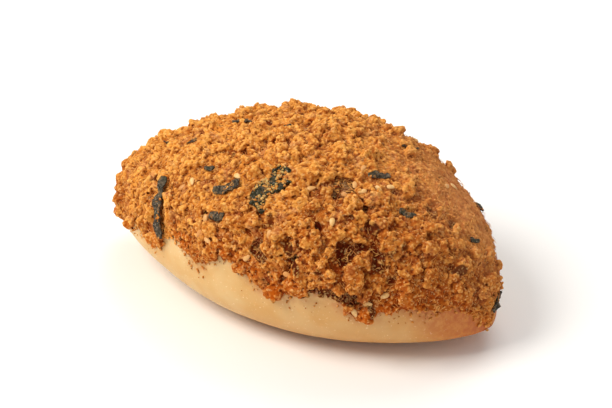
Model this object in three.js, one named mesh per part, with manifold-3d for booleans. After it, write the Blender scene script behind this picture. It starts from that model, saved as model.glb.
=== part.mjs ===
import * as THREE from 'three';
import { mergeVertices } from 'three/addons/utils/BufferGeometryUtils.js';
import { ImprovedNoise } from 'three/addons/math/ImprovedNoise.js';
import Module from 'manifold-3d';

// A bread roll: one baked bun, a coat of meat floss pressed onto its top and sides, and shreds of
// nori and sesame seeds lying on the floss. Millimetres, +Z up, +X along the roll to its lower tip.

const bunShape = {
  halfLength: 70,
  halfWidth: 40.5,
  height: 55.7,
  leftTipHeight: 13.2,
  rightTipHeight: 7.2,
  waistHeight: 24.6, // height of the widest line at mid length
  skew: 0.08, // how far the fullest section sits towards +X, as a share of the half length
  planPower: 1.6,
  planRound: 0.588,
  topPower: 1.86,
  topRound: 0.51,
  sagPower: 1.8, // a higher power keeps the underside low further out towards the tips
  sag: 2.2, // how far the dough would reach below the table, had it not been flattened by it
  shoulderRound: 0.88,
  bellyRound: 0.73,
  middleSoftness: 0.15, // rounds the plan outline where its two ends meet
  tipBlend: 6, // how quickly one tip's height gives way to the other's
};

const coat = {
  gap: 0.75, // left between the bun and the coat
  thickness: 2.3,
  thinnest: 1.2,
  rimThickness: 0.5,
  rimAngle: 88, // degrees down from the top, where the coat ends
  rimWander: 2,
  broadLumps: { size: 15, height: 1.1 },
  smallLumps: { size: 6.5, height: 0.9 },
};

// Places where the floss hangs lower than its rim: direction round the roll, drop and half width.
const drips = [
  { around: -178, drop: 8, spread: 16 },
  { around: -141, drop: 8, spread: 8 },
  { around: -124, drop: 6, spread: 4.5 },
  { around: -101, drop: 4, spread: 3 },
  { around: -78, drop: 4, spread: 7 },
  { around: -55, drop: 6.5, spread: 5 },
  { around: -2, drop: 14, spread: 15 },
  { around: 58, drop: 6, spread: 8 },
  { around: 96, drop: 4, spread: 6 },
  { around: 131, drop: 8, spread: 7 },
];

// Places where the floss hangs less low.
const bareDips = [
  { around: -112, rise: 6, spread: 4 },
  { around: -93, rise: 7, spread: 5 },
  { around: 38, rise: 4, spread: 8 },
  { around: 112, rise: 4, spread: 7 },
];

// Heaps stand up from the coat, hollows have a negative height.
const heaps = [
  { at: [31, -38, 34], radius: 7, height: 2.6 },
  { at: [56, -20, 33], radius: 12, height: 1.1 },
  { at: [26, 20, 53], radius: 7, height: 2.6 },
  { at: [-36, 3, 50], radius: 6, height: 1.6 },
  { at: [-50, -13, 42], radius: 6, height: 1.2 },
  { at: [-3, -41, 38], radius: 7, height: 1 },
  { at: [8, 34, 43], radius: 8, height: 1.5 },
  { at: [-28, 30, 38], radius: 9, height: 1.3 },
  { at: [52, 20, 32], radius: 8, height: 1.2 },
  { at: [38, -37, 31], radius: 3.5, height: -1.4 },
  { at: [45, -32, 34], radius: 4, height: -1.6 },
  { at: [50, -26, 37], radius: 3.5, height: -1.2 },
  { at: [46, 11, 47], radius: 16, height: -1 },
  { at: [-60, -20, 21], radius: 9, height: 1.3 },
  { at: [70, -4, 10], radius: 9, height: 0.9 },
];

// Nori shreds: direction round the roll and angle down from its top, both of the middle of the shred;
// turn is the angle of its long side from level, curl how far its ends stand up.
const noriSize = { thickness: 0.5, gap: 0.65, step: 1.6 };
const noriShreds = [
  { around: -120, down: 71.5, turn: 70, length: 18, width: 3.7, curl: 0 },
  { around: -99.5, down: 47.5, turn: -40, length: 8, width: 4.2, curl: 0.3 },
  { around: -83, down: 40.5, turn: -78, length: 15, width: 8, curl: 0.5 },
  { around: -97, down: 62.5, turn: -10, length: 5, width: 2.8, curl: 0.4 },
  { around: -114, down: 42, turn: -10, length: 3.4, width: 2, curl: 0 },
  { around: 167, down: 20, turn: 36, length: 6, width: 1.8, curl: 0.4 },
  { around: 135, down: 24.5, turn: -27, length: 3, width: 1.5, curl: 0 },
  { around: -158, down: 43.5, turn: 68, length: 3.4, width: 1.7, curl: 0.2 },
  { around: -20, down: 28.5, turn: 11, length: 6.5, width: 2.8, curl: 0.4 },
  { around: -26.5, down: 45, turn: 21, length: 5.2, width: 2.3, curl: 0.2 },
  { around: 6, down: 82.5, turn: 0, length: 7.5, width: 2.2, curl: 0.4 },
  { around: 6, down: 59, turn: 60, length: 2.8, width: 2, curl: 0 },
  { around: 43.5, down: 36, turn: 90, length: 5.5, width: 0.9, curl: 0.9 },
  { around: -147, down: 35.5, turn: -74, length: 3, width: 1.8, curl: 0 },
  { around: 163, down: 5, turn: 68, length: 2.6, width: 1.6, curl: 0 },
  { around: 72, down: 62, turn: -35, length: 11, width: 2.6, curl: 0.4 },
  { around: 101, down: 40, turn: 55, length: 7, width: 3.4, curl: 0.5 },
  { around: 122, down: 74, turn: 75, length: 9, width: 2.1, curl: 0.2 },
  { around: 40, down: 70, turn: 25, length: 5, width: 2.6, curl: 0.3 },
];

// Sesame seeds: the same two angles, and the turn of the pointed end.
const seedSize = { length: 3.1, width: 1.9, thickness: 1.1, gap: 0.35, taper: 0.32 };
const sesameSeeds = [
  { around: -115, down: 51.5, turn: 40 },
  { around: -117, down: 56.5, turn: -60 },
  { around: -99, down: 40, turn: 15 },
  { around: -101, down: 74, turn: 120 },
  { around: -97.5, down: 75.5, turn: 20 },
  { around: -100, down: 66, turn: 75 },
  { around: -50, down: 36.5, turn: 30 },
  { around: -42, down: 32, turn: 100 },
  { around: -41.5, down: 36, turn: 160 },
  { around: -21, down: 33.5, turn: 10 },
  { around: -31, down: 34.5, turn: 60 },
  { around: -26, down: 24.5, turn: 130 },
  { around: -65.5, down: 36, turn: -25 },
  { around: -59.5, down: 52, turn: 85 },
  { around: -73.5, down: 80.5, turn: 10 },
  { around: -55.5, down: 90.5, turn: 55 },
  { around: -52, down: 86.5, turn: -10 },
  { around: -47, down: 81, turn: 140 },
  { around: -79.5, down: 63.5, turn: 95 },
  { around: -85.5, down: 78, turn: -45 },
  { around: 28, down: 47, turn: 35 },
  { around: 34, down: 52, turn: 110 },
  { around: 58, down: 45, turn: -20 },
  { around: 63, down: 77, turn: 70 },
  { around: 85, down: 55, turn: 150 },
  { around: 90, down: 72, turn: 5 },
  { around: 110, down: 58, turn: 60 },
  { around: 116, down: 34, turn: -75 },
  { around: 140, down: 60, turn: 25 },
  { around: 165, down: 55, turn: 95 },
];

const radians = THREE.MathUtils.degToRad;
const noise = new ImprovedNoise();
const rightAngle = Math.PI / 2;

const materials = {
  bun: { color: 0xdcb07a, roughness: 0.6, metalness: 0 },
  floss: { color: 0xc8782e, roughness: 0.95, metalness: 0 },
  nori: { color: 0x2f3a33, roughness: 0.55, metalness: 0 },
  sesame: { color: 0xeed9a8, roughness: 0.45, metalness: 0 },
};

function power(value, exponent) {
  return Math.pow(Math.max(value, 0), exponent);
}

// The cross-section at a share u of the half length: half width, top, underside and waist height.
function sectionAt(u) {
  const s = u - bunShape.skew * (1 - u * u);
  const share = THREE.MathUtils.clamp(Math.abs(s), 0, 1);
  const soft = bunShape.middleSoftness;
  const rounded = (Math.hypot(s, soft) - soft) / (Math.hypot(1, soft) - soft);
  const rightness = 1 / (1 + Math.exp(-bunShape.tipBlend * s));
  const tip = THREE.MathUtils.lerp(bunShape.leftTipHeight, bunShape.rightTipHeight, rightness);
  return {
    halfWidth: bunShape.halfWidth * power(1 - power(rounded, bunShape.planPower), bunShape.planRound),
    top: tip + (bunShape.height - tip) * power(1 - power(share, bunShape.topPower), bunShape.topRound),
    bottom: -bunShape.sag + (tip + bunShape.sag) * power(share, bunShape.sagPower),
    waist: THREE.MathUtils.lerp(bunShape.waistHeight, tip, share ** 3),
  };
}

// A point of the dough's skin: the angle round the roll, and the angle down from its top.
function skinPoint(around, down) {
  const reach = Math.sin(down);
  const u = reach * Math.cos(around);
  const y = reach * sectionAt(Math.cos(around)).halfWidth * Math.sign(Math.sin(around));
  const section = sectionAt(u);
  const upper = down <= rightAngle;
  const round = upper ? bunShape.shoulderRound : bunShape.bellyRound;
  const across = THREE.MathUtils.clamp(Math.abs(y) / Math.max(section.halfWidth, 1e-9), 0, 1);
  const rise = power(1 - power(across, 2 / round), round / 2);
  const end = upper ? section.top : section.bottom;
  return new THREE.Vector3(bunShape.halfLength * u, y, section.waist + (end - section.waist) * rise);
}

// How the skin runs at a point: two steps along it, and the direction out of it.
function skinFrame(around, down) {
  const step = 0.02;
  const level = skinPoint(around + step, down).sub(skinPoint(around - step, down)).divideScalar(2 * step);
  const fall = skinPoint(around, down + step).sub(skinPoint(around, down - step)).divideScalar(2 * step);
  const out = new THREE.Vector3().crossVectors(fall, level).normalize();
  if (down < step) {
    out.set(0, 0, 1);
  }
  return { level, fall, out };
}

function lumps(point, { size, height }) {
  return height * noise.noise(point.x / size, point.y / size, point.z / size);
}

// A bell of height 1 at distance 0, almost flat beyond twice its radius.
function bell(distance, radius) {
  return Math.exp(-((distance / radius) ** 2));
}

function flossThickness(point) {
  let thickness = coat.thickness + lumps(point, coat.broadLumps) + lumps(point, coat.smallLumps);
  for (const { at, radius, height } of heaps) {
    thickness += height * bell(point.distanceTo(new THREE.Vector3(...at)), radius);
  }
  return Math.max(thickness, coat.thinnest);
}

function rimAngle(around) {
  const degrees = THREE.MathUtils.radToDeg(around);
  const apart = (place) => Math.abs(THREE.MathUtils.euclideanModulo(degrees - place + 180, 360) - 180);
  let angle = coat.rimAngle + coat.rimWander * noise.noise(4 * Math.cos(around), 4 * Math.sin(around), 0.5);
  for (const { around: place, drop, spread } of drips) {
    angle += drop * bell(apart(place), spread);
  }
  for (const { around: place, rise, spread } of bareDips) {
    angle -= rise * bell(apart(place), spread);
  }
  return radians(angle);
}

// A point at a height above the outside of the floss.
function flossPoint(around, down, height) {
  const skin = skinPoint(around, down);
  const lift = coat.gap + flossThickness(skin) + height;
  return skin.addScaledVector(skinFrame(around, down).out, lift);
}

// Moves every corner of a geometry, joins the corners that meet, and drops what no longer holds.
function reshape(geometry, place) {
  const position = geometry.attributes.position;
  const corner = new THREE.Vector3();
  for (let i = 0; i < position.count; i += 1) {
    corner.fromBufferAttribute(position, i);
    const { x, y, z } = place(corner);
    position.setXYZ(i, x, y, z);
  }
  geometry.deleteAttribute('normal');
  geometry.deleteAttribute('uv');
  return mergeVertices(geometry, 1e-4);
}

// A ball with its poles at the top and bottom, whose corners go where place says.
function ball(segments, rings, place) {
  const geometry = new THREE.SphereGeometry(1, segments, rings);
  geometry.rotateX(rightAngle);
  return reshape(geometry, ({ x, y, z }) => {
    const down = Math.acos(THREE.MathUtils.clamp(z, -1, 1));
    const nearPole = Math.sin(down) < 1e-6;
    return place(nearPole ? 0 : Math.atan2(y, x), down);
  });
}

const wasm = await Module();
wasm.setup();

function toSolid(geometry) {
  const vertProperties = new Float32Array(geometry.attributes.position.array);
  const triVerts = new Uint32Array(geometry.index.array);
  return new wasm.Manifold(new wasm.Mesh({ numProp: 3, vertProperties, triVerts }));
}

function toGeometry(solid) {
  const { vertProperties, triVerts } = solid.getMesh();
  const geometry = new THREE.BufferGeometry();
  geometry.setAttribute('position', new THREE.BufferAttribute(new Float32Array(vertProperties), 3));
  geometry.setIndex(new THREE.BufferAttribute(new Uint32Array(triVerts), 1));
  return geometry;
}

// The bun, with the flat spot that it rests on cut at the table.
function makeBun() {
  const dough = ball(52, 26, skinPoint);
  const depth = 20;
  const table = new THREE.BoxGeometry(4 * bunShape.halfLength, 4 * bunShape.halfWidth, depth);
  table.translate(0, 0, -depth / 2);
  table.deleteAttribute('normal');
  table.deleteAttribute('uv');
  return toGeometry(toSolid(dough).subtract(toSolid(mergeVertices(table))));
}

// The coat is a bowl turned over: the upper half of a ball is its outside, the lower half its inside.
function makeCoat() {
  return ball(84, 26, (around, down) => {
    const outside = down < rightAngle - 1e-6;
    const share = (down < rightAngle ? down : Math.PI - down) / rightAngle;
    const onSkin = share * rimAngle(around);
    const skin = skinPoint(around, onSkin);
    const fullness = power(1 - share ** 10, 0.5);
    const outer = coat.rimThickness + (flossThickness(skin) - coat.rimThickness) * fullness;
    const inner = share > 1 - 1e-6 ? coat.rimThickness : 0;
    const lift = coat.gap + (outside ? outer : inner);
    return skin.addScaledVector(skinFrame(around, onSkin).out, lift);
  });
}

// Walks from a place on the skin by a distance along a direction in space.
function walk(place, direction, distance) {
  const steps = Math.max(1, Math.ceil(Math.abs(distance)));
  let { around, down } = place;
  for (let i = 0; i < steps; i += 1) {
    const { level, fall } = skinFrame(around, down);
    const step = direction.clone().multiplyScalar(distance / steps);
    const a = level.dot(level);
    const b = level.dot(fall);
    const c = fall.dot(fall);
    const det = a * c - b * b;
    around += (c * level.dot(step) - b * fall.dot(step)) / det;
    down += (a * fall.dot(step) - b * level.dot(step)) / det;
  }
  return { around, down };
}

// The level direction and the fall line at a place, turned by an angle in the skin.
function turned(place, degrees) {
  const { level, out } = skinFrame(place.around, place.down);
  const along = level.clone().normalize().applyAxisAngle(out, -radians(degrees));
  const across = new THREE.Vector3().crossVectors(out, along);
  return { along, across, out };
}

// A torn shred that follows the floss under it.
function makeNori(shred, index) {
  const { length, width, curl } = shred;
  const place = { around: radians(shred.around), down: radians(shred.down) };
  const { along, across } = turned(place, shred.turn);
  const columns = Math.max(2, Math.round(length / noriSize.step));
  const rows = Math.max(1, Math.round(width / noriSize.step));
  const slab = new THREE.BoxGeometry(length, width, noriSize.thickness, columns, rows, 1);
  return reshape(slab, ({ x, y, z }) => {
    const torn = 0.82 + 0.5 * noise.noise(x / 2.2, 3.1 * index, Math.sign(y) * 1.7);
    const narrowed = y * torn * (1 - 0.35 * (2 * x / length) ** 4);
    const middle = walk(place, along, x);
    const { around, down } = walk(middle, across, narrowed);
    const lift = noriSize.gap + noriSize.thickness / 2 + curl * (2 * x / length) ** 2;
    return flossPoint(around, down, lift + z);
  });
}

// A teardrop seed lying flat on the floss.
function makeSesame(seed) {
  const place = { around: radians(seed.around), down: radians(seed.down) };
  const { along, across, out } = turned(place, seed.turn);
  const { length, width, thickness, gap, taper } = seedSize;
  const middle = flossPoint(place.around, place.down, gap + thickness / 2);
  const drop = new THREE.SphereGeometry(1, 8, 6);
  drop.rotateZ(rightAngle);
  return reshape(drop, ({ x, y, z }) => {
    const slim = 1 - taper * x;
    return middle
      .clone()
      .addScaledVector(along, (x * length) / 2)
      .addScaledVector(across, (y * slim * width) / 2)
      .addScaledVector(out, (z * slim * thickness) / 2);
  });
}

function piece(name, geometry, look) {
  const mesh = new THREE.Mesh(geometry, new THREE.MeshStandardMaterial(look));
  mesh.name = name;
  return mesh;
}

function numbered(name, index) {
  return `${name}_${String(index + 1).padStart(2, '0')}`;
}

const roll = new THREE.Group();
roll.add(piece('bun', makeBun(), materials.bun));
roll.add(piece('floss_coating', makeCoat(), materials.floss));
noriShreds.forEach((shred, index) => {
  roll.add(piece(numbered('nori_shred', index), makeNori(shred, index), materials.nori));
});
sesameSeeds.forEach((seed, index) => {
  roll.add(piece(numbered('sesame_seed', index), makeSesame(seed), materials.sesame));
});

// The origin goes to the middle of the bottom of the roll's box.
const box = new THREE.Box3().setFromObject(roll, true);
const middle = box.getCenter(new THREE.Vector3());
roll.position.set(-middle.x, -middle.y, -box.min.z);

export default roll;
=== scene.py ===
import math

import bmesh
import bpy
import numpy as np
from mathutils import Euler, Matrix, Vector
from mathutils.bvhtree import BVHTree


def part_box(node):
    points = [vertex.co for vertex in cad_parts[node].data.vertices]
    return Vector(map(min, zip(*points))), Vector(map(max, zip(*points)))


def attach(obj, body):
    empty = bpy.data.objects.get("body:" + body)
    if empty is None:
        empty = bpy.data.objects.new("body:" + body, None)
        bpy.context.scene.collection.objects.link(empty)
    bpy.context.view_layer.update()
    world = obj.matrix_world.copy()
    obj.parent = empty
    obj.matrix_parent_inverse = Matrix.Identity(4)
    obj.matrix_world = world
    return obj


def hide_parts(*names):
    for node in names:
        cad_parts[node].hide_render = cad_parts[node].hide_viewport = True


# A bread roll under a crumbly coat of meat floss, with nori shreds and sesame seeds lying on it.
# The shapes are worked out in millimetres and become metres when their meshes are made.

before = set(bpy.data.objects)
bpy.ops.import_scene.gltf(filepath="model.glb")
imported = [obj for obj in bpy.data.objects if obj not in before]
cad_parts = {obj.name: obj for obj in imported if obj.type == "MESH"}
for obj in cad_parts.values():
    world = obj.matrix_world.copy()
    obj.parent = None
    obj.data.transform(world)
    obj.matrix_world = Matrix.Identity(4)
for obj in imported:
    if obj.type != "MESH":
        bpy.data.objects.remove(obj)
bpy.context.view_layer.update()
metre = 1000
bunLow, bunHigh = (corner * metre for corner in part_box("bun"))
bunMiddle = np.array([(bunLow.x + bunHigh.x) / 2, (bunLow.y + bunHigh.y) / 2, 0])
print("frame loaded,", len(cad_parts), "nodes")

# camera and light

cameraSet = {
    "azimuth": 31.5,
    "elevation": 29.8,
    "distance": 0.65,
    "pivot": (0, 0, 0.025),  # the camera circles this point
    "aim": (-0.0001, 0.0029, 0.0294),  # and looks a little above it
    "lens": 117.3,
    "sensor": 36,
    "clip": (0.01, 20),
}


def towards(azimuth, elevation):
    a, e = math.radians(azimuth), math.radians(elevation)
    return Vector((math.sin(a) * math.cos(e), -math.cos(a) * math.cos(e), math.sin(e)))


def lookFrom(thing, place, target):
    thing.location = place
    thing.rotation_euler = (Vector(target) - Vector(place)).to_track_quat("-Z", "Y").to_euler()


def makeCamera():
    data = bpy.data.cameras.new("camera")
    data.lens, data.sensor_width = cameraSet["lens"], cameraSet["sensor"]
    data.clip_start, data.clip_end = cameraSet["clip"]
    camera = bpy.data.objects.new("camera", data)
    bpy.context.scene.collection.objects.link(camera)
    shift = Vector((bunMiddle[0], bunMiddle[1], 0)) / metre
    back = towards(cameraSet["azimuth"], cameraSet["elevation"])
    place = Vector(cameraSet["pivot"]) + shift + back * cameraSet["distance"]
    lookFrom(camera, place, Vector(cameraSet["aim"]) + shift)
    bpy.context.scene.camera = camera


# each place is an azimuth, an elevation and a distance
lightSet = {
    "key": {"place": (-38, 50, 0.9), "size": 0.5, "watts": 6.6, "colour": (1, 0.97, 0.92)},
    "fill": {"place": (75, 35, 1.1), "size": 0.9, "watts": 0.8, "colour": (1, 0.98, 0.96)},
    "back": {"place": (190, 55, 1.0), "size": 0.7, "watts": 3.3, "colour": (1, 0.99, 0.97)},
}
lightAim = (0, 0, 0.025)
skySet = {"colour": (1, 0.99, 0.975), "strength": 0.46}


def makeLights():
    for name, light in lightSet.items():
        data = bpy.data.lights.new(name, "AREA")
        data.shape, data.size = "DISK", light["size"]
        data.energy, data.color = light["watts"], light["colour"]
        lamp = bpy.data.objects.new(name, data)
        bpy.context.scene.collection.objects.link(lamp)
        azimuth, elevation, distance = light["place"]
        lookFrom(lamp, towards(azimuth, elevation) * distance, lightAim)
    world = bpy.data.worlds.new("studio")
    world.use_nodes = True
    sky = world.node_tree.nodes["Background"]
    sky.inputs["Color"].default_value = (*skySet["colour"], 1)
    sky.inputs["Strength"].default_value = skySet["strength"]
    bpy.context.scene.world = world
    bpy.context.scene.view_settings.view_transform = "Standard"


makeCamera()
makeLights()
print("camera and lights are set")

# shader maths


def linear(code):
    # a screen colour such as "e8a650" as the shader's own light values
    parts = [int(code[i : i + 2], 16) / 255 for i in (0, 2, 4)]
    return tuple(p / 12.92 if p <= 0.04045 else ((p + 0.055) / 1.055) ** 2.4 for p in parts) + (1,)


# a node's output, so that sums on it add Math nodes
class Wire:
    def __init__(self, shader, socket):
        self.shader, self.socket = shader, socket

    def maths(self, operation, *values):
        return self.shader.node("Math", {"operation": operation}, dict(enumerate(values)))

    def __add__(self, other):
        return self.maths("ADD", self, other)

    def __sub__(self, other):
        return self.maths("SUBTRACT", self, other)

    def __rsub__(self, other):
        return self.maths("SUBTRACT", other, self)

    def __mul__(self, other):
        return self.maths("MULTIPLY", self, other)

    __radd__, __rmul__ = __add__, __mul__

    def between(self, low, high):
        # 0 at low, 1 at high, smooth from one to the other
        settings = {"interpolation_type": "SMOOTHSTEP"}
        return self.shader.node("MapRange", settings, {0: self, 1: low, 2: high})


class Shader:
    def __init__(self, name, roughness, **constants):
        self.material = bpy.data.materials.new(name)
        self.material.use_nodes = True
        self.tree = self.material.node_tree
        self.surface = self.tree.nodes["Principled BSDF"]
        self.surface.inputs["Roughness"].default_value = roughness
        for socket, value in constants.items():
            self.surface.inputs[socket.replace("_", " ")].default_value = value
        self.place = self.vector("SCALE", self.node("TexCoord", out="Object"), {3: metre})

    def node(self, kind, settings=None, sockets=None, out=0):
        made = self.tree.nodes.new("ShaderNode" + kind)
        for name, value in (settings or {}).items():
            setattr(made, name, value)
        for name, value in (sockets or {}).items():
            if isinstance(value, Wire):
                self.tree.links.new(value.socket, made.inputs[name])
            else:
                made.inputs[name].default_value = value
        return Wire(self, made.outputs[out])

    def vector(self, operation, first, sockets):
        return self.node("VectorMath", {"operation": operation}, {0: first, **sockets})

    def attribute(self, name):
        return self.node("Attribute", {"attribute_name": name}, out="Fac")

    def noise(self, size, detail=2, roughness=0.5, offset=0):
        # from 0 to 1, with lumps of about this size in millimetres
        place = self.vector("ADD", self.place, {1: (offset, offset, offset)})
        sockets = {"Vector": place, "Scale": 1 / size, "Detail": detail, "Roughness": roughness}
        return self.node("TexNoise", {}, sockets)

    def cells(self, size, offset=0):
        # one steady number from 0 to 1 for each crumb-sized cell
        place = self.vector("ADD", self.place, {1: (offset, offset, offset)})
        found = self.node("TexVoronoi", {}, {"Vector": place, "Scale": 1 / size}, out="Color")
        return self.node("SeparateColor", {}, {0: found})

    def mix(self, first, second, factor):
        settings = {"data_type": "RGBA", "clamp_factor": True}
        return self.node("Mix", settings, {0: factor, 6: first, 7: second}, out=2)

    def bump(self, height, strength, distance):
        sockets = {"Height": height, "Strength": strength, "Distance": distance / metre}
        return self.node("Bump", {}, sockets)

    def wear(self, **sockets):
        for name, value in sockets.items():
            self.tree.links.new(value.socket, self.surface.inputs[name.replace("_", " ")])
        return self.material


# numbers over points


def latticeNoise(spot):
    # a steady random number at each whole place, blended smoothly between them; from -1 to 1
    cell = np.floor(spot).astype(np.int64)
    share = spot - cell
    share = share * share * (3 - 2 * share)
    total = np.zeros(len(spot))
    for corner in range(8):
        step = np.array([corner & 1, corner >> 1 & 1, corner >> 2 & 1])
        key = ((cell + step) * np.array([73856093, 19349663, 83492791])).sum(1)
        key = (key ^ (key >> 13)) * 1274126177
        key = (key ^ (key >> 16)) & 0xFFFF
        total += (key / 32767.5 - 1) * np.where(step, share, 1 - share).prod(1)
    return total


def lumps(points, size, seed=0):
    # smooth noise at each point, mostly from -1 to 1, with lumps of this size and no grain
    total = 0
    for turn in (0.7, 2.1):
        spin = np.array(Euler((seed + turn, 2 * seed + turn, seed - turn)).to_matrix())
        total = total + latticeNoise(points @ spin / size + seed * 7.31 + 400 * turn)
    return 0.75 * total


def unit(vectors):
    return vectors / np.maximum(np.linalg.norm(vectors, axis=-1, keepdims=True), 1e-12)


def smoothStep(low, high, values):
    share = np.clip((values - low) / (high - low), 0, 1)
    return share * share * (3 - 2 * share)


def makePiece(name, points, faces, material):
    # points in millimetres; every face has the same number of corners
    mesh = bpy.data.meshes.new(name)
    mesh.vertices.add(len(points))
    mesh.vertices.foreach_set("co", (points / metre).astype(np.float32).ravel())
    mesh.loops.add(faces.size)
    mesh.loops.foreach_set("vertex_index", faces.astype(np.int32).ravel())
    mesh.polygons.add(len(faces))
    mesh.polygons.foreach_set("loop_start", np.arange(0, faces.size, faces.shape[1], dtype=np.int32))
    mesh.update(calc_edges=True)
    mesh.validate()
    mesh.polygons.foreach_set("use_smooth", np.ones(len(mesh.polygons), bool))
    piece = bpy.data.objects.new(name, mesh)
    bpy.context.scene.collection.objects.link(piece)
    if material:
        mesh.materials.append(material)
        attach(piece, "root")
    return piece


def pointsOf(mesh):
    found = np.empty(len(mesh.vertices) * 3, np.float32)
    mesh.vertices.foreach_get("co", found)
    return found.reshape(-1, 3).astype(float) * metre


def normalsOf(mesh):
    found = np.empty(len(mesh.vertices) * 3, np.float32)
    mesh.vertex_normals.foreach_get("vector", found)
    return found.reshape(-1, 3).astype(float)


def within(points, region):
    # 1 at the middle of a region, and near 0 well past its reach
    centre, reach = np.array(region["centre"]), np.array(region["reach"])
    return np.exp(-(((points - centre) / reach) ** 2).sum(1))


def setAttribute(mesh, name, values):
    mesh.attributes.new(name, "FLOAT", "POINT").data.foreach_set("value", values.astype(np.float32))


# the bun's skin, which the frame's bun follows too

bunSet = {
    "halfLength": (bunHigh.x - bunLow.x) / 2,
    "halfWidth": 40.5,
    "height": bunHigh.z,
    "leftTipHeight": 13.2,
    "rightTipHeight": 7.2,
    "waistHeight": 24.6,
    "skew": 0.08,
    "planPower": 1.6,
    "planRound": 0.588,
    "topPower": 1.86,
    "topRound": 0.51,
    "sagPower": 1.8,
    "sag": 2.2,
    "shoulderRound": 0.88,
    "bellyRound": 0.73,
    "middleSoftness": 0.15,
    "tipBlend": 6,
    "columns": 320,
    "rings": 160,
    "dimples": ((24, 0.22), (9, 0.1), (3, 0.035)),  # size and height of the unevenness of baked dough
    "tip": (50, 70),  # the skin turns browner between these, to the right
    # and darker between these towards the right: part real browning, part painted shade
    "right": (-25, 60),
    "under": (9, 0),
    "stain": {"reach": (2.2, 30), "share": (0.75, 0.25), "from": (-45, -5)},
    "colours": {
        "pale": "dfbc80",
        "gold": "d6a862",
        "baked": "bd7626",
        "blush": "dba35c",
        "flour": "f7e2b8",
        "tip": "c8741a",
        "stain": "b0500a",
    },
}


def powerOf(value, exponent):
    return np.maximum(value, 0) ** exponent


def sectionAt(u):
    s = u - bunSet["skew"] * (1 - u * u)
    share = np.clip(np.abs(s), 0, 1)
    soft = bunSet["middleSoftness"]
    rounded = (np.hypot(s, soft) - soft) / (math.hypot(1, soft) - soft)
    rightness = 1 / (1 + np.exp(-bunSet["tipBlend"] * s))
    tip = bunSet["leftTipHeight"] + (bunSet["rightTipHeight"] - bunSet["leftTipHeight"]) * rightness
    plan = powerOf(1 - powerOf(rounded, bunSet["planPower"]), bunSet["planRound"])
    halfWidth = bunSet["halfWidth"] * plan
    top = tip + (bunSet["height"] - tip) * powerOf(1 - share ** bunSet["topPower"], bunSet["topRound"])
    bottom = -bunSet["sag"] + (tip + bunSet["sag"]) * share ** bunSet["sagPower"]
    waist = bunSet["waistHeight"] + (tip - bunSet["waistHeight"]) * share**3
    return halfWidth, top, bottom, waist


def skinPoint(around, down):
    # both angles in radians: round the roll, and down from its top
    reach = np.sin(down)
    u = reach * np.cos(around)
    y = reach * sectionAt(np.cos(around))[0] * np.sign(np.sin(around))
    halfWidth, top, bottom, waist = sectionAt(u)
    upper = down <= math.pi / 2
    bend = np.where(upper, bunSet["shoulderRound"], bunSet["bellyRound"])
    across = np.clip(np.abs(y) / np.maximum(halfWidth, 1e-9), 0, 1)
    rise = powerOf(1 - across ** (2 / bend), bend / 2)
    z = waist + (np.where(upper, top, bottom) - waist) * rise
    return np.stack([bunSet["halfLength"] * u, y, z], -1) + bunMiddle


def skinNormal(around, down):
    step = 0.02
    level = skinPoint(around + step, down) - skinPoint(around - step, down)
    fall = skinPoint(around, down + step) - skinPoint(around, down - step)
    out = unit(np.cross(fall, level))
    return np.where((down < step)[..., None], np.array([0, 0, 1.0]), out)


def ballFaces(columns, rings):
    # three-cornered faces for a top point, rings of points, and a bottom point
    ring, column = np.meshgrid(np.arange(rings - 2), np.arange(columns), indexing="ij")
    nextColumn = (column + 1) % columns
    a, b = 1 + ring * columns + column, 1 + ring * columns + nextColumn
    c, d = a + columns, b + columns
    sides = [np.stack(corners, -1).reshape(-1, 3) for corners in ([a, c, b], [b, c, d])]
    ringPlaces = np.arange(columns)
    following = (ringPlaces + 1) % columns
    last = 1 + (rings - 2) * columns
    bottom = last + columns
    top = np.stack([np.zeros(columns, int), 1 + ringPlaces, 1 + following], -1)
    base = np.stack([np.full(columns, bottom), last + following, last + ringPlaces], -1)
    return np.concatenate([top, *sides, base])


def bunMesh():
    columns, rings = bunSet["columns"], bunSet["rings"]
    around = np.linspace(-math.pi, math.pi, columns, endpoint=False)
    down = np.linspace(0, math.pi, rings + 1)[1:-1]
    a, d = np.meshgrid(around, down)
    a = np.concatenate([[0], a.ravel(), [0]])
    d = np.concatenate([[0], d.ravel(), [math.pi]])
    points = skinPoint(a, d)
    return points, ballFaces(columns, rings), a, d


skinPoints, skinFaces, skinAround, skinDown = bunMesh()
skinTree = BVHTree.FromPolygons(skinPoints.tolist(), skinFaces.tolist())


# the coat's shape, read off the frame's coat

coatSet = {
    "reach": 14,  # the rays that find the coat start this far out from the skin
    "columns": 300,
    "rows": 70,
    "rim": (60, 128),  # its edge is looked for between these angles down from the top
    "rises": ((3, 13, 17), (-20, 15, 9), (-138, 9, 4)),  # where it is higher: around, spread, how much
    "thinnest": 1.0,
    "blur": 2,
}

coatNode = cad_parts["floss_coating"]
coatTree = BVHTree.FromPolygons(
    pointsOf(coatNode.data).tolist(), [list(face.vertices) for face in coatNode.data.polygons]
)


def coatAt(points, normals):
    # how far the frame's coat reaches out from the skin at each point, and 0 where it doesn't
    reach = coatSet["reach"]
    found = []
    for point, normal in zip(points, normals):
        hit = coatTree.ray_cast(Vector(point + normal * reach), Vector(-normal), reach)
        found.append(reach - hit[3] if hit[0] else 0)
    return np.array(found)


def findRim():
    # the angle down from the top at which the coat ends, for each column
    around = np.linspace(-math.pi, math.pi, coatSet["columns"], endpoint=False)
    down = np.radians(np.arange(*coatSet["rim"], 1.0))
    a, d = np.meshgrid(around, down, indexing="ij")
    a, d = a.ravel(), d.ravel()
    thickness = coatAt(skinPoint(a, d), skinNormal(a, d)).reshape(len(around), len(down))
    last = np.array([np.max(np.flatnonzero(row > 0), initial=0) for row in thickness])
    return around, down[last]


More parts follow.
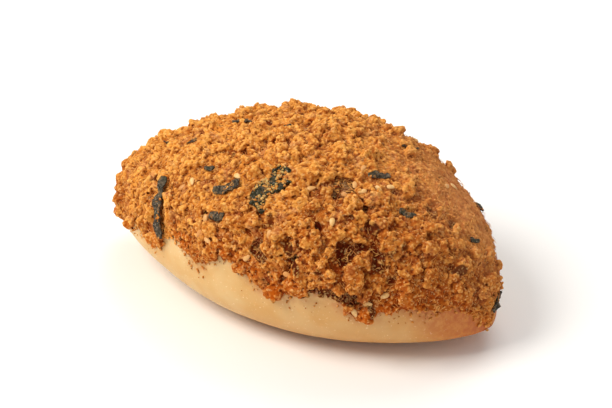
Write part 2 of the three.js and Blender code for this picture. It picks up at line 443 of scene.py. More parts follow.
rimAround, rimDown = findRim()
for direction, spread, rise in coatSet["rises"]:
    rimDown -= np.radians(rise) * np.exp(-(((np.degrees(rimAround) - direction) / spread) ** 2))


def rimAt(around):
    return np.interp(around, rimAround, rimDown, period=2 * math.pi)


def blurred(grid, times):
    # averages each value with its neighbours; the columns go all the way round
    for _ in range(times):
        grid = (grid + np.roll(grid, 1, 0) + np.roll(grid, -1, 0)) / 3
        inner = (grid[:, :-2] + grid[:, 1:-1] + grid[:, 2:]) / 3
        grid = np.concatenate([grid[:, :1], inner, grid[:, -1:]], 1)
    return grid


def coatGrid():
    around = np.linspace(-math.pi, math.pi, coatSet["columns"], endpoint=False)
    share = np.linspace(0, 1, coatSet["rows"])
    a, s = np.meshgrid(around, share, indexing="ij")
    down = s * rimAt(a)
    skin = skinPoint(a, down)
    normal = skinNormal(a, down)
    thickness = coatAt(skin.reshape(-1, 3), normal.reshape(-1, 3)).reshape(a.shape)
    thickness = blurred(np.maximum(thickness, coatSet["thinnest"]), coatSet["blur"])
    # all the columns meet at the top, so there they have one thickness
    thickness[:, :2] = thickness[:, :2].mean()
    return {"skin": skin, "normal": normal, "thickness": thickness}


coat = coatGrid()
print("coat found, rim from and to", np.degrees([rimDown.min(), rimDown.max()]).round())

# floss

flossSet = {
    "sectors": {
        "near_left": (-150, -100),
        "near_middle": (-100, -64),
        "near_right": (-64, -24),
        "right_end": (-24, 30),
        "far_right": (30, 84),
        "far_left": (84, 138),
        "left_end": (138, 210),
    },
    "overlap": 1.5,  # degrees by which a sector runs into the next
    "voxel": 0.35,
    "quickVoxel": 0.7,
    "sink": 1.5,  # the body lies this much below the frame's coat, and the lumps on it make it up
    "inside": 0.3,  # and its underside this much above the skin
    "thinnest": 0.25,
    "columnWidth": 1.2,  # in degrees
    "edgePower": 14,  # the higher, the later its lower edge rounds off
    "crest": 1.3,
    "relief": ((9, 0.8), (4.5, 0.7), (1.8, 0.25)),  # size and height of the lumps of the body
    "pit": {"size": 5.5, "from": 0.3, "to": 0.7, "depth": 1.6},
    # gaps open between the lumps, most of them inside their region
    "gap": {"size": 5, "from": 0.1, "to": 0.4, "hold": 0.6, "depth": 1.8},
    "regions": {
        "gap": {"centre": (40, -30, 35), "reach": (30, 20, 15)},
        "coarse": {"centre": (38, -32, 32), "reach": (26, 18, 16)},  # low and near, on the right
        "fine": {"centre": (54, 22, 39), "reach": (29, 23, 25)},  # the far shoulder of the right end
        "tip": {"centre": (76, -2, 8), "reach": (14, 22, 14)},
        "ball": {"centre": (31, -39, 34), "reach": (8, 8, 8)},  # one paler heap
    },
    # how rough the floss is: from left to right, then less and more in its regions
    "rough": {"left": 0.36, "rightMore": 0.28, "from": -35, "to": 20, "less": 0.62, "more": 0.5},
    "roughLimits": (0.02, 1.1),
    "reliefShare": (0.45, 0.75),  # of the lumps' height, where it is smooth and what roughness adds
    "layers": (
        {"count": 1150, "radius": (1.1, 3.1), "sink": -0.2, "flat": 0.8, "level": 3, "thinned": 1.7},
        {"count": 6500, "radius": (0.4, 1.0), "sink": 0.05, "flat": 0.85, "level": 2, "thinned": 0.6},
        {"count": 20000, "radius": (0.24, 0.48), "sink": -0.1, "flat": 0.9, "level": 1, "thinned": 0.3},
    ),
    "lumpPower": 1.8,  # above 1, so most lumps are small
    "lumpShare": (0.62, 0.5),  # of a lump's radius, where it is smooth and what roughness adds
    "lowest": 0.5,  # no lump lies nearer to the skin
    "missing": 0.6,  # the height taken where nothing lies below a lump
    "rimCrumbs": {
        "count": 1900,
        "radius": (0.3, 1.0),
        "power": 1.5,
        "spread": 2.8,
        "start": 2,  # degrees above the edge
        "shrink": 9,  # degrees below it over which they get smaller
        "lowest": 1.5,
        "flat": 0.8,
        "level": 2,
    },
    "shake": ((1.1, 0.1), (0.6, 0.16), (0.34, 0.12)),
    "calm": 0.2,  # how much less it is shaken where it is fine
    "seed": 11,
    "smoothing": 5,  # rounds that level the surface its hollows are measured from
    # browning of the floss: part real roasting, part painted shade on the right end and low on the near
    # side, and painted light that pales its top
    "roastAndShade": {
        "right": (-35, 50),
        "low": (42, 20),
        "near": (0, -20),
        "top": (44, 58),
        "pale": 0.55,
        "ball": 0.3,
        "blotch": (0.1, 0.6),
        "blotchSize": 8,
    },
    "oil": {"reach": (11, 1), "patches": (-0.45, 0.35)},
    "colours": {
        "light": "efaa50",
        "middle": "da8934",
        "dark": "ae601f",
        "pink": "c08258",
        "rust": "a4561e",
        "red": "8a3806",
        # browning colour: part real roasting, part painted shade
        "roastAndShade": "983e00",
        "oil": "b25006",
        "olive": "c2a566",
        # painted shade: these three colours darken the floss in its crevices, hollows and the gaps
        # between lumps
        "creviceShade": "742200",
        "deepestShade": "420a00",
        "hollow": "661c00",
        # painted highlight on the crests of the lumps
        "crest": "fcb860",
        # pale specks: a painted glint on scattered grains
        "glintSpeck": "ffd08a",
        "darkSpeck": "7c340c",
        "fine": "d3915a",
    },
}


def gapAt(points):
    # near 1 inside the gaps between lumps, and how deep the gap is there
    gap = flossSet["gap"]
    region = within(points, flossSet["regions"]["gap"])
    held = lumps(points, gap["size"], 61) - gap["hold"] * (1 - region)
    strength = smoothStep(gap["from"], gap["to"], held)
    return strength, gap["depth"] * strength


def relief(points):
    sizes = enumerate(flossSet["relief"])
    height = sum(tall * lumps(points, size, 3 + i) for i, (size, tall) in sizes)
    pit, (smooth, more) = flossSet["pit"], flossSet["reliefShare"]
    hollow = smoothStep(pit["from"], pit["to"], lumps(points, pit["size"], 9)) * roughness(points)
    return height * (smooth + more * roughness(points)) - pit["depth"] * hollow - gapAt(points)[1]


def fineness(points):
    # near 1 where the floss is thin and fine
    return within(points, flossSet["regions"]["fine"])


def roughness(points):
    rough, regions = flossSet["rough"], flossSet["regions"]
    usual = rough["left"] + rough["rightMore"] * smoothStep(rough["from"], rough["to"], points[:, 0])
    less = rough["less"] * np.maximum(fineness(points), within(points, regions["tip"]))
    more = rough["more"] * within(points, regions["coarse"])
    return np.clip(usual - less + more, *flossSet["roughLimits"])


def scatter(count, random):
    # places all over the coat, evenly by area: columns and rows of its grid, with fractions
    skin = coat["skin"]
    across = np.roll(skin, -1, 0)[:, :-1] - skin[:, :-1]
    along = skin[:, 1:] - skin[:, :-1]
    area = np.linalg.norm(np.cross(across, along), axis=2)
    chosen = random.choice(area.size, count, p=area.ravel() / area.sum())
    column, row = np.unravel_index(chosen, area.shape)
    return column + random.random(count), row + random.random(count)


def onCoat(column, row):
    # the skin point, the direction out and the coat's thickness at places of its grid
    columns, rows = coat["thickness"].shape
    c, r = np.floor(column).astype(int), np.clip(np.floor(row).astype(int), 0, rows - 2)
    fc, fr = column - c, row - r
    found = []
    for key in ("skin", "normal", "thickness"):
        grid = coat[key]
        corners = [grid[(c + i) % columns, r + j] for i in (0, 1) for j in (0, 1)]
        weights = [(fc if i else 1 - fc) * (fr if j else 1 - fr) for i in (0, 1) for j in (0, 1)]
        found.append(sum(v * (w[:, None] if v.ndim > 1 else w) for v, w in zip(corners, weights)))
    skin, normal, thickness = found
    around = -180 + 360 * (column % columns) / columns
    return skin, unit(normal), thickness, around


def icoTemplate(level):
    shape = bmesh.new()
    bmesh.ops.create_icosphere(shape, subdivisions=level, radius=1)
    points = np.array([v.co for v in shape.verts])
    faces = np.array([[v.index for v in face.verts] for face in shape.faces])
    shape.free()
    return points, faces


def spins(normals, random):
    # for each place, three directions: two at random along the surface, and one out of it
    side = unit(np.cross(normals, random.normal(size=normals.shape)))
    return np.stack([side, np.cross(normals, side), normals], 1)


crumbSet = {
    "lean": 0.45,
    "long": (0.9, 1.35),
    "wide": (0.7, 1.0),
    "uneven": 0.45,
    "bumps": ((0.75, 1), (0.36, 0.55)),  # size, against a crumb's radius, and height
}


def crumbPoints(places, normals, radii, flat, level, random):
    # uneven lumps, each with a shape of its own
    template, faces = icoTemplate(level)
    count = len(places)
    leaning = unit(normals + crumbSet["lean"] * random.normal(size=normals.shape))
    axes = spins(leaning, random)
    long, wide = random.uniform(*crumbSet["long"], count), random.uniform(*crumbSet["wide"], count)
    sizes = radii[:, None] * np.stack([long, wide, np.full(count, flat)], 1)
    seeds = random.uniform(0, 900, (count, 1, 3))
    shape = (template[None] + seeds).reshape(-1, 3)
    bumps = sum(tall * lumps(shape, size, 5 + i) for i, (size, tall) in enumerate(crumbSet["bumps"]))
    swell = 1 + crumbSet["uneven"] * bumps.reshape(count, -1)
    local = template[None] * swell[..., None] * sizes[:, None]
    points = places[:, None] + np.einsum("nvk,nkj->nvj", local, axes)
    allFaces = faces[None] + (np.arange(count) * len(template))[:, None, None]
    return points.reshape(-1, 3), allFaces.reshape(-1, 3)


def gather(parts):
    # several sets of points and faces as one
    points, faces, start = [], [], 0
    for somePoints, someFaces in parts:
        points.append(somePoints)
        faces.append(someFaces + start)
        start += len(somePoints)
    return np.concatenate(points), np.concatenate(faces)


# the small things that lie on the floss keep most of it off themselves
trimSet = {
    "margins": {"nori": 1.15, "sesame": 0.4},
    "reach": 0.85,  # how much of a lump's radius counts
    "kept": 0.12,  # the share of the small lumps that stay all the same
    "small": 0.7,
}
kinds = trimSet["margins"]
trimNames = {kind: sorted(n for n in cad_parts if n.startswith(kind)) for kind in kinds}


def nodeTree(names):
    meshes = [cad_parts[name].data for name in names]
    shapes = [(pointsOf(mesh), np.array([list(f.vertices) for f in mesh.polygons])) for mesh in meshes]
    return BVHTree.FromPolygons(*(part.tolist() for part in gather(shapes)))


trimTrees = {kind: nodeTree(names) for kind, names in trimNames.items()}


def clearOfTrim(points, radii, random):
    # False for the lumps that would cover a shred or a seed, apart from a few
    keep = np.ones(len(points), bool)
    lucky = random.random(len(points)) < trimSet["kept"]
    for i, (point, radius) in enumerate(zip(points, radii)):
        reach = trimSet["reach"] * radius
        near = any(trimTrees[k].find_nearest(Vector(point), kinds[k] + reach)[0] for k in kinds)
        keep[i] = not near or (lucky[i] and radius < trimSet["small"])
    return keep


def makeLayer(layer, ground, random):
    # lumps lying on what is there already; ground is the list of points and faces made so far
    tree = BVHTree.FromPolygons(*(part.tolist() for part in gather(ground)))
    skin, normal, thickness, around = onCoat(*scatter(layer["count"], random))
    reach = coatSet["reach"]
    height = np.zeros(len(skin))
    for i, (point, out) in enumerate(zip(skin, normal)):
        hit = tree.ray_cast(Vector(point + out * reach), Vector(-out), reach)
        height[i] = reach - hit[3] if hit[0] else flossSet["missing"]
    low, high = layer["radius"]
    radii = low + (high - low) * random.random(len(skin)) ** flossSet["lumpPower"]
    smooth, more = flossSet["lumpShare"]
    radii *= smooth + more * roughness(skin)
    crest = thickness + flossSet["crest"]
    sunk = height - layer["sink"] * radii
    places = skin + normal * np.minimum(np.maximum(sunk, flossSet["lowest"]), crest)[:, None]
    bare = np.maximum(gapAt(places)[0], layer["thinned"] * fineness(places))
    keep = clearOfTrim(places, radii, random) & (random.random(len(skin)) > bare)
    shape = (places[keep], normal[keep], radii[keep], layer["flat"], layer["level"])
    return (*crumbPoints(*shape, random), around[keep])


def makeRimCrumbs(random):
    crumb = flossSet["rimCrumbs"]
    around = random.uniform(-180, 180, crumb["count"])
    angle = np.radians(around)
    scattered = np.abs(random.normal(size=len(angle))) * crumb["spread"]
    below = scattered * (1.2 + lumps(np.stack([around, around * 0, around * 0], 1), 9, 2))
    down = rimAt(angle) + np.radians(below - crumb["start"])
    low, high = crumb["radius"]
    radii = low + (high - low) * random.random(len(angle)) ** crumb["power"]
    radii *= np.exp(-below / crumb["shrink"])
    skin, normal = skinPoint(angle, down), skinNormal(angle, down)
    keep = clearOfTrim(skin, radii, random) & (skin[:, 2] > crumb["lowest"])
    places = skin + normal * (0.15 + 0.35 * radii)[:, None]
    shape = (places[keep], normal[keep], radii[keep], crumb["flat"], crumb["level"])
    return (*crumbPoints(*shape, random), around[keep])


def sectorBody(start, end):
    # a closed wedge of the coat between two directions
    columns = int((end - start) / flossSet["columnWidth"]) + 1
    rows = coatSet["rows"]
    around = np.linspace(start, end, columns)
    column = ((around + 180) % 360) / 360 * coatSet["columns"]
    c, r = np.meshgrid(column, np.linspace(0, rows - 1.001, rows * 2), indexing="ij")
    skin, normal, thickness, _ = onCoat(c.ravel(), r.ravel())
    edge = powerOf(1 - (r.ravel() / (rows - 1)) ** flossSet["edgePower"], 0.5)
    thick = (thickness - flossSet["sink"] + relief(skin)) * edge
    lift = np.maximum(thick, flossSet["inside"] + flossSet["thinnest"])
    outer = skin + normal * lift[:, None]
    inner = skin + normal * flossSet["inside"]
    n, m = c.shape
    index = np.arange(n * m).reshape(n, m)
    sheet = np.stack([index[:-1, :-1], index[:-1, 1:], index[1:, 1:], index[1:, :-1]], -1).reshape(-1, 4)
    border = np.concatenate([index[:, 0][::-1], index[0, 1:], index[1:, -1], index[-1, 1:-1][::-1]])
    following = np.roll(border, -1)
    walls = np.stack([border, border + n * m, following + n * m, following], -1)
    quads = np.concatenate([sheet, sheet[:, ::-1] + n * m, walls])
    faces = np.concatenate([quads[:, [0, 1, 2]], quads[:, [0, 2, 3]]])
    return np.concatenate([outer, inner]), faces


def remeshed(points, faces, voxel):
    # one closed skin round everything; it is made at a thousand times its size, to keep its detail
    block = makePiece("block", points * metre, faces, None)
    change = block.modifiers.new("skin", "REMESH")
    change.mode, change.voxel_size = "VOXEL", voxel
    graph = bpy.context.evaluated_depsgraph_get()
    mesh = bpy.data.meshes.new_from_object(block.evaluated_get(graph))
    found = pointsOf(mesh) / metre
    corners = np.empty(len(mesh.loops), np.int32)
    mesh.loops.foreach_get("vertex_index", corners)
    old = block.data
    bpy.data.objects.remove(block)
    bpy.data.meshes.remove(old)
    bpy.data.meshes.remove(mesh)
    return found, corners.reshape(-1, 4)


def crevices(points, size=2.6):
    # how far each point lies below the crests round it, in millimetres
    heights = np.array([skinTree.find_nearest(Vector(point))[3] for point in points])
    key = np.floor(points / size).astype(np.int64) + 200
    code = (key[:, 0] * 1000 + key[:, 1]) * 1000 + key[:, 2]
    names, where = np.unique(code, return_inverse=True)
    crest = np.zeros(len(names))
    np.maximum.at(crest, where, heights)
    lookup = dict(zip(names.tolist(), crest.tolist()))
    # a mean over the neighbouring boxes keeps the crest level smooth
    near = (-1, 0, 1)
    steps = [(dx * 1000 + dy) * 1000 + dz for dx in near for dy in near for dz in near]
    level = [np.mean([lookup[n + step] for step in steps if n + step in lookup]) for n in names.tolist()]
    return np.maximum(np.array(level)[where] - heights, 0)


def flossShader(name):
    shade = Shader(name, 0.92, Specular_IOR_Level=0.08)
    depth, hollow = shade.attribute("depth"), shade.attribute("hollow")
    roastAndShade, gap, oil = shade.attribute("roastAndShade"), shade.attribute("gap"), shade.attribute("oil")
    tint = {colour: linear(code) for colour, code in flossSet["colours"].items()}
    patch = shade.noise(2.6, 3, 0.6, 40)
    grain = shade.noise(0.6, 2, 0.65, 90)
    crumb = shade.cells(1.1)
    speck = shade.cells(0.55, 33)
    lit = (patch * 0.55 + crumb * 0.45).between(0.38, 0.68)
    pink = shade.noise(5, 2, 0.5, 70).between(0.54, 0.7)
    rust = shade.cells(4.2, 51).between(0.45, 1)
    red = shade.noise(3.6, 3, 0.6, 120).between(0.5, 0.66)
    # painted shade in the deepest crevices and in the gaps between lumps
    deepestShade = (depth.between(1.6, 2.9) * 0.8 + gap).between(0.2, 0.9)
    # painted highlight: points that stand out from the smoothed surface are painted lighter
    crest = (0 - hollow).between(0.05, 0.25)
    colour = shade.mix(tint["middle"], tint["light"], lit)
    colour = shade.mix(colour, tint["dark"], (1 - crumb).between(0.72, 1) * 0.6)
    colour = shade.mix(colour, tint["pink"], pink * 0.55)
    colour = shade.mix(colour, tint["rust"], rust * 0.45)
    colour = shade.mix(colour, tint["red"], red * (0.36 + roastAndShade * 0.5))
    # browner with roasting and with painted shade, towards the right and low on the near side
    colour = shade.mix(colour, tint["roastAndShade"], roastAndShade * 0.78)
    colour = shade.mix(colour, tint["oil"], oil * 0.75)
    colour = shade.mix(colour, tint["olive"], shade.attribute("olive"))
    # painted shade: the deeper a point lies in a crevice or hollow, the darker it is painted
    colour = shade.mix(colour, tint["creviceShade"], depth.between(0.5, 1.8) * 0.88)
    colour = shade.mix(colour, tint["deepestShade"], deepestShade * 0.92)
    colour = shade.mix(colour, tint["hollow"], hollow.between(0.02, 0.18) * 0.8)
    # painted highlight on the crests
    colour = shade.mix(colour, tint["crest"], crest * (0.65 - roastAndShade * 0.25))
    # painted glints: pale specks on scattered grains
    colour = shade.mix(colour, tint["glintSpeck"], speck.between(0.8, 1) * 0.35)
    colour = shade.mix(colour, tint["darkSpeck"], (1 - speck).between(0.84, 1) * 0.5)
    colour = shade.mix(colour, tint["fine"], shade.attribute("fine") * 0.6)
    height = grain + shade.noise(0.3, 2, 0.6, 20) * 0.5
    return shade.wear(Base_Color=colour, Normal=shade.bump(height, 0.7, 0.3))


def roastAndShadeAt(points):
    # the floss is browner towards the right end and low on the near side: part real roasting, part
    # painted shade; its top is paler with painted light
    roastAndShade = flossSet["roastAndShade"]
    x, y, z = points.T
    right = smoothStep(*roastAndShade["right"], x - 0.35 * y)
    low = smoothStep(*roastAndShade["low"], z) * smoothStep(*roastAndShade["near"], y)
    blotch = smoothStep(*roastAndShade["blotch"], lumps(points, roastAndShade["blotchSize"], 21))
    # painted light: the top of the floss is paler
    pale = roastAndShade["pale"] * smoothStep(*roastAndShade["top"], z)
    ball = roastAndShade["ball"] * within(points, flossSet["regions"]["ball"])
    brown = (0.6 * right + (0.3 + 0.2 * right) * low) * (1 - pale)
    return np.clip(brown + 0.4 * blotch * (0.4 + low) - ball, 0, 1)


def oilAt(points):
    # near its lower edge the floss is thin, wet and orange
    oil = flossSet["oil"]
    x, y, z = points.T
    around = np.arctan2(y / bunSet["halfWidth"], x / bunSet["halfLength"])
    fromRim = z - skinPoint(around, rimAt(around))[:, 2] + 3 * lumps(points, 5, 44)
    return smoothStep(*oil["reach"], fromRim) * smoothStep(*oil["patches"], lumps(points, 6, 45))


def hollows(points, faces, times):
    # how far each point lies inside the smoothed surface, in millimetres; below 0 on the crests
    start, end = faces.ravel(), np.roll(faces, -1, 1).ravel()
    a, b = np.concatenate([start, end]), np.concatenate([end, start])
    share = np.bincount(a, minlength=len(points))[:, None]
    smooth = points.copy()
    for _ in range(times):
        sums = [np.bincount(a, smooth[b, axis], len(points)) for axis in range(3)]
        smooth = np.stack(sums, 1) / share
    return smooth - points


def makeFloss():
    random = np.random.RandomState(flossSet["seed"])
    overlap = flossSet["overlap"]
    sectors = flossSet["sectors"].items()
    bodies = {name: sectorBody(a - overlap, b + overlap) for name, (a, b) in sectors}
    layers, ground = [], list(bodies.values())
    for layer in flossSet["layers"]:
        points, faces, around = makeLayer(layer, ground, random)
        layers.append((points, faces, around))
        ground.append((points, faces))
    layers.append(makeRimCrumbs(random))
    made = []
    voxel = flossSet["voxel"]
    material = flossShader("floss")
    for name, (start, end) in sectors:
        parts = [bodies[name]]
        for points, faces, around in layers:
            mine = (around - start) % 360 < end - start
            parts.append((points, faces.reshape(len(around), -1, 3)[mine].reshape(-1, 3)))
        points, faces = remeshed(*gather(parts), voxel)
        depth = crevices(points)
        piece = makePiece("floss_" + name, points, faces, material)
        normals = normalsOf(piece.data)
        shaken = sum(tall * lumps(points, size, 31) for size, tall in flossSet["shake"])
        shaken *= 1 - flossSet["calm"] * fineness(points)
        points = points + normals * shaken[:, None]
        piece.data.vertices.foreach_set("co", (points / metre).astype(np.float32).ravel())
        hollow = (hollows(points, faces, flossSet["smoothing"]) * normals).sum(1)
        setAttribute(piece.data, "gap", gapAt(points)[0])
        setAttribute(piece.data, "fine", fineness(points))
        # depth and hollow drive the floss's painted crevice shade and painted crest highlight
        setAttribute(piece.data, "depth", depth)
        setAttribute(piece.data, "hollow", hollow)
        setAttribute(piece.data, "roastAndShade", roastAndShadeAt(points))
        setAttribute(piece.data, "oil", oilAt(points))
        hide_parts("floss_coating")
        print("floss", name, len(faces), "faces, crevices to", depth.max().round(2))
        made.append((points, faces))
    return BVHTree.FromPolygons(*(part.tolist() for part in gather(made)))


def gapsUnder(points, tree, reach=2.5):
    # how far each point is above the floss, and which way is out
    out = np.array(skinTree.find_nearest(Vector(points.mean(0)))[1])
    gaps = np.full(len(points), np.nan)
    for i, point in enumerate(points):
        hit = tree.ray_cast(Vector(point + out * reach), Vector(-out), 8)
        if hit[0]:
            gaps[i] = hit[3] - reach
    mean = np.nanmean(gaps) if np.isfinite(gaps).any() else 0
    return np.where(np.isfinite(gaps), gaps, mean), out


flossTree = makeFloss()

# fibres

fibreSet = {
    "count": 5600,
    "length": (1.2, 3.8),
    "radius": (0.05, 0.11),
    "steps": 4,
    "lift": (-0.1, 0.5),
    "bend": 0.6,
    "rise": (-0.15, 0.35),
    "seed": 23,
    "colours": ("f0ac58", "b0602a"),
}


def makeFibres():
    random = np.random.RandomState(fibreSet["seed"])
    skin, normal, thickness, _ = onCoat(*scatter(fibreSet["count"], random))
    count, steps = len(skin), fibreSet["steps"]
    length = random.uniform(*fibreSet["length"], count)
    radius = random.uniform(*fibreSet["radius"], count)
    axes = spins(normal, random)
    lift = thickness - flossSet["sink"] + relief(skin) + random.uniform(*fibreSet["lift"], count)
    start = skin + normal * np.maximum(lift, 0.8)[:, None]
    bend = random.normal(size=(count, 1)) * fibreSet["bend"]
    rise = random.uniform(*fibreSet["rise"], (count, 1))
    share = np.linspace(-0.5, 0.5, steps + 1)
    points = []
    for t in share:
        path = axes[:, 0] * t + axes[:, 1] * bend * t * t + axes[:, 2] * rise * (t + 0.3)
        middle = start + length[:, None] * path
        thin = radius * (1 - 1.6 * abs(t)) + 0.02
        for corner in range(3):
            turn = 2 * math.pi * corner / 3
            side = axes[:, 1] * math.cos(turn) + axes[:, 2] * math.sin(turn)
            points.append(middle + thin[:, None] * side)
    points = np.stack(points, 1)
    faces = [[0, 2, 1], [3 * steps, 3 * steps + 1, 3 * steps + 2]]
    for step in range(steps):
        for corner in range(3):
            a, b = 3 * step + corner, 3 * step + (corner + 1) % 3
            faces += [[a, b, b + 3], [a, b + 3, a + 3]]
    allFaces = np.array(faces)[None] + (np.arange(count) * points.shape[1])[:, None, None]
    shade = Shader("fibre", 0.7, Specular_IOR_Level=0.3)
    tone = shade.noise(6, 2).between(0.35, 0.65)
    pale, brown = (linear(code) for code in fibreSet["colours"])
    colour = shade.mix(pale, brown, tone)
    material = shade.wear(Base_Color=colour)
    piece = makePiece("floss_fibres", points.reshape(-1, 3), allFaces.reshape(-1, 3), material)
    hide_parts("floss_coating")
    print("fibres", count)


makeFibres()

# bun


def bunShader():
    shade = Shader("crust", 0.48, Specular_IOR_Level=0.4, Subsurface_Weight=0.12, Subsurface_Scale=0.003)
    shade.surface.inputs["Subsurface Radius"].default_value = (1.0, 0.5, 0.25)
    stain, baked = shade.attribute("stain"), shade.attribute("baked")
    tint = {colour: linear(code) for colour, code in bunSet["colours"].items()}
    blush = shade.noise(2.2, 3, 0.6, 30).between(0.5, 0.75)
    flour = shade.noise(0.8, 1, 0.5, 60).between(0.66, 0.78)
    blotch = shade.noise(2.4, 3, 0.65, 80).between(0.3, 0.66)
    colour = shade.mix(tint["pale"], tint["gold"], shade.noise(14, 2).between(0.35, 0.65))
    # browner where baked underneath and at the tip, and towards the right end, there partly painted
    # shade
    colour = shade.mix(colour, tint["baked"], baked)
    colour = shade.mix(colour, tint["blush"], blush * 0.35)
    colour = shade.mix(colour, tint["flour"], flour * 0.5)
    colour = shade.mix(colour, tint["tip"], shade.attribute("tip") * 0.8)
    colour = shade.mix(colour, tint["stain"], stain * blotch)
    height = shade.noise(1.1, 3, 0.6) * 0.6 + shade.noise(0.35, 2, 0.5, 10) * 0.4
    return shade.wear(Base_Color=colour, Normal=shade.bump(height, 0.35, 0.1))


def makeBun():
    points = skinPoints.copy()
    normals = skinNormal(skinAround, skinDown)
    dimples = enumerate(bunSet["dimples"])
    rough = sum(tall * lumps(points, size, 50 + i) for i, (size, tall) in dimples)
    points += normals * (rough * smoothStep(0, 6, points[:, 2]))[:, None]
    points[:, 2] = np.maximum(points[:, 2], 0)
    piece = makePiece("bun_crust", points, skinFaces, bunShader())
    below = np.degrees(skinDown - rimAt(skinAround))  # from the floss's edge
    x, z = points[:, 0], points[:, 2]
    stain = bunSet["stain"]
    tipness = smoothStep(*bunSet["tip"], x)
    (short, longer), (share, more) = stain["reach"], stain["share"]
    fade = np.clip(np.exp(-np.maximum(below, 0) / (short + longer * tipness)), 0, 1)
    stained = fade * (share + more * tipness) * (0.5 + 0.5 * smoothStep(*stain["from"], x))
    setAttribute(piece.data, "stain", stained)
    setAttribute(piece.data, "tip", tipness * smoothStep(2, 9, z))
    # browner underneath and at the tip from baking, and darker to the right, part real browning and part
    # painted shade
    right, under = smoothStep(*bunSet["right"], x), smoothStep(*bunSet["under"], z)
    setAttribute(piece.data, "baked", np.clip(0.1 + 0.42 * right + 0.4 * tipness + 0.5 * under, 0, 1))
    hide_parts("bun")
    print("bun", len(skinFaces), "faces")


makeBun()

# nori

noriSet = {
    "cut": 3,
    "sink": -0.6,
    "drape": 2.2,  # a shred follows the floss averaged over this far
    "bury": 0.5,  # how far some of a shred dips into the floss
    # crumbs to a square millimetre, and above what noise they stay: on each shred, and on the big one
    "crumbs": {"each": (0.6, 0.15), "big": (2.1, -0.4), "radius": (0.22, 0.6), "seed": 31},
    "crumple": ((3, 0.45), (1.3, 0.25)),  # size and height of the folds
    "tear": ((1.5, 0.4), (0.7, 0.25)),  # and of the bites out of the edge
    "big": "nori_shred_03",
    "bigShares": {"crumple": 2.2, "bury": 2.4, "tear": 1.5},
    "whole": "nori_shred_01",  # this one lies clear of the floss
    "wholeTear": 0.3,
    "lift": 0.8,
    "green": (0.15, 0.9),
    "colours": {
        "dark": "261c13",
        "worn": "6c5a45",
        "moss": "39402a",
        "green": "24260f",
        "salt": "b5ab98",
        "crumb": "a8763c",
    },
}


def noriShader():
    shade = Shader("nori", 0.6, Specular_IOR_Level=0.2)
    green = shade.attribute("green")
    tint = {colour: linear(code) for colour, code in noriSet["colours"].items()}
    worn = shade.noise(1.2, 3, 0.7).between(0.38, 0.68)
    moss = shade.noise(3, 2, 0.5, 15).between(0.5, 0.7)
    salt = shade.noise(0.5, 2, 0.6, 35).between(0.58, 0.72)
    colour = shade.mix(tint["dark"], tint["worn"], worn)
    colour = shade.mix(colour, tint["moss"], moss * 0.5)
    colour = shade.mix(colour, tint["green"], green * shade.noise(2, 2, 0.6, 55).between(0.25, 0.5))
    colour = shade.mix(colour, tint["salt"], salt * 0.7)
    colour = shade.mix(colour, tint["crumb"], shade.cells(0.8, 65).between(0.8, 0.95) * 0.5)
    height = shade.noise(0.8, 4, 0.7, 25)
    rough = shade.noise(1, 2, 0.5, 45) * 0.35 + 0.45
    return shade.wear(Base_Color=colour, Roughness=rough, Normal=shade.bump(height, 0.8, 0.3))


def makeDust(dust):
    # floss crumbs caught on the shreds
    crumb = noriSet["crumbs"]
    random = np.random.RandomState(crumb["seed"])
    parts, olive = [], []
    for points, faces, out, big in dust:
        a, b, c = (points[faces[:, i]] for i in range(3))
        cross = np.cross(b - a, c - a)
        facing = np.maximum(cross @ out, 0) / 2
        dense, bare = crumb["big"] if big else crumb["each"]
        count = int(facing.sum() * dense)
        chosen = random.choice(len(faces), count, p=facing / facing.sum())
        places = (a[chosen] + b[chosen] + c[chosen]) / 3 + out * 0.1
        kept = lumps(places, 1.8, 71) > bare
        places = places[kept]
        if not len(places):
            continue
        low, high = crumb["radius"]
        radii = low + (high - low) * random.random(len(places)) ** 2
        part = crumbPoints(places, np.tile(out, (len(places), 1)), radii, 0.8, 2, random)
        parts.append(part)
        tint = np.clip(big * random.uniform(-0.2, 1.1, len(places)), 0, 0.85)
        olive.append(np.repeat(tint, len(part[0]) // len(places)))
    points, faces = gather(parts)
    piece = makePiece("floss_on_nori", points, faces, bpy.data.materials["floss"])
    setAttribute(piece.data, "olive", np.concatenate(olive))
    setAttribute(piece.data, "roastAndShade", roastAndShadeAt(points))
    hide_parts("floss_coating")
    print("crumbs on the nori", len(faces), "faces")


def makeNori():
    material = noriShader()
    dust = []
    for number, name in enumerate(trimNames["nori"]):
        shape = bmesh.new()
        shape.from_mesh(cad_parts[name].data)
        bmesh.ops.remove_doubles(shape, verts=shape.verts, dist=1e-6)
        bmesh.ops.subdivide_edges(shape, edges=shape.edges, cuts=noriSet["cut"], use_grid_fill=True)
        bmesh.ops.triangulate(shape, faces=shape.faces)
        shape.verts.ensure_lookup_table()
        points = np.array([v.co for v in shape.verts]) * metre
        faces = np.array([[v.index for v in f.verts] for f in shape.faces])
        shape.free()
        gaps, out = gapsUnder(points, flossTree)
        near = np.linalg.norm(points[:, None] - points[None], axis=2) < noriSet["drape"]
        sink = (near * gaps[None]).sum(1) / near.sum(1) + noriSet["sink"]
        big, whole = name == noriSet["big"], name == noriSet["whole"]
        share = noriSet["bigShares"] if big else dict.fromkeys(noriSet["bigShares"], 1)
        folds = sum(tall * lumps(points, size, 60 + number) for size, tall in noriSet["crumple"])
        buried = smoothStep(0, 0.5, lumps(points, 3.2, 140 + number)) * share["bury"]
        crumpled = folds * share["crumple"] - (0 if whole else noriSet["bury"]) * buried
        sink = sink - (noriSet["lift"] if whole else 0)
        push = out[None] * (crumpled - sink)[:, None]
        tear = noriSet["wholeTear"] if whole else share["tear"]
        for axis in range(3):
            seed = 80 + 7 * axis + number
            torn = sum(tall * lumps(points, size, seed) for size, tall in noriSet["tear"])
            push[:, axis] += torn * tear
        piece = makePiece(name.replace("shred", "flake"), points + push, faces, material)
        setAttribute(piece.data, "green", np.full(len(points), noriSet["green"][big]))
        dust.append((points + push, faces, out, 1 if big else 0))
        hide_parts(name)
    makeDust(dust)
    print("nori done")


makeNori()

# sesame

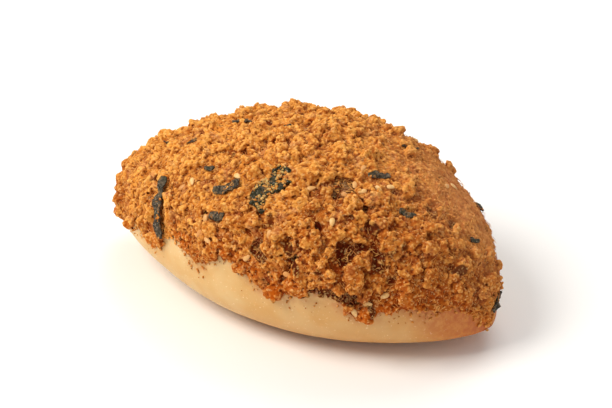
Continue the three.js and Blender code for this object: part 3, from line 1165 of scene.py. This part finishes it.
seedSet = {
    "sink": -0.15,
    "seed": 5,
    "colours": {"pale": "efcb8a", "gold": "dba456", "toasted": "cc863e", "edge": "b86a2c"},
}


def sesameShader():
    shade = Shader("sesame", 0.45, Specular_IOR_Level=0.4)
    tint = {colour: linear(code) for colour, code in seedSet["colours"].items()}
    gold = shade.noise(1.6, 2).between(0.35, 0.65)
    edge = shade.noise(0.5, 2, 0.5, 12).between(0.6, 0.75)
    colour = shade.mix(tint["pale"], tint["gold"], gold * 0.6)
    colour = shade.mix(colour, tint["toasted"], shade.attribute("toast"))
    colour = shade.mix(colour, tint["edge"], edge * 0.5)
    return shade.wear(Base_Color=colour, Normal=shade.bump(shade.noise(0.3, 2), 0.3, 0.05))


def makeSesame():
    material = sesameShader()
    random = np.random.RandomState(seedSet["seed"])
    for name in trimNames["sesame"]:
        shape = bmesh.new()
        shape.from_mesh(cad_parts[name].data)
        bmesh.ops.remove_doubles(shape, verts=shape.verts, dist=1e-6)
        points = np.array([v.co for v in shape.verts]) * metre
        faces = np.array([[v.index for v in f.verts] for f in shape.faces])
        shape.free()
        gaps, out = gapsUnder(points, flossTree)
        sunk = points - out * (gaps.mean() + seedSet["sink"])
        piece = makePiece(name.replace("seed", "grain"), sunk, faces, material)
        setAttribute(piece.data, "toast", np.full(len(points), random.random()))
        smooth = piece.modifiers.new("round", "SUBSURF")
        smooth.levels = smooth.render_levels = 2
        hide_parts(name)
    print("sesame done")


makeSesame()

# floor

floorSet = {"size": 6, "drop": 0.02, "colour": "fbfaf8", "roughness": 0.7}


def makeFloor():
    half = floorSet["size"] * metre / 2
    corners = ((-half, -half), (half, -half), (half, half), (-half, half))
    points = np.array([(x, y, -floorSet["drop"]) for x, y in corners])
    floor = makePiece("floor", points, np.array([[0, 1, 2, 3]]), None)
    material = bpy.data.materials.new("floor")
    material.use_nodes = True
    surface = material.node_tree.nodes["Principled BSDF"]
    surface.inputs["Base Color"].default_value = linear(floorSet["colour"])
    surface.inputs["Roughness"].default_value = floorSet["roughness"]
    floor.data.materials.append(material)


makeFloor()
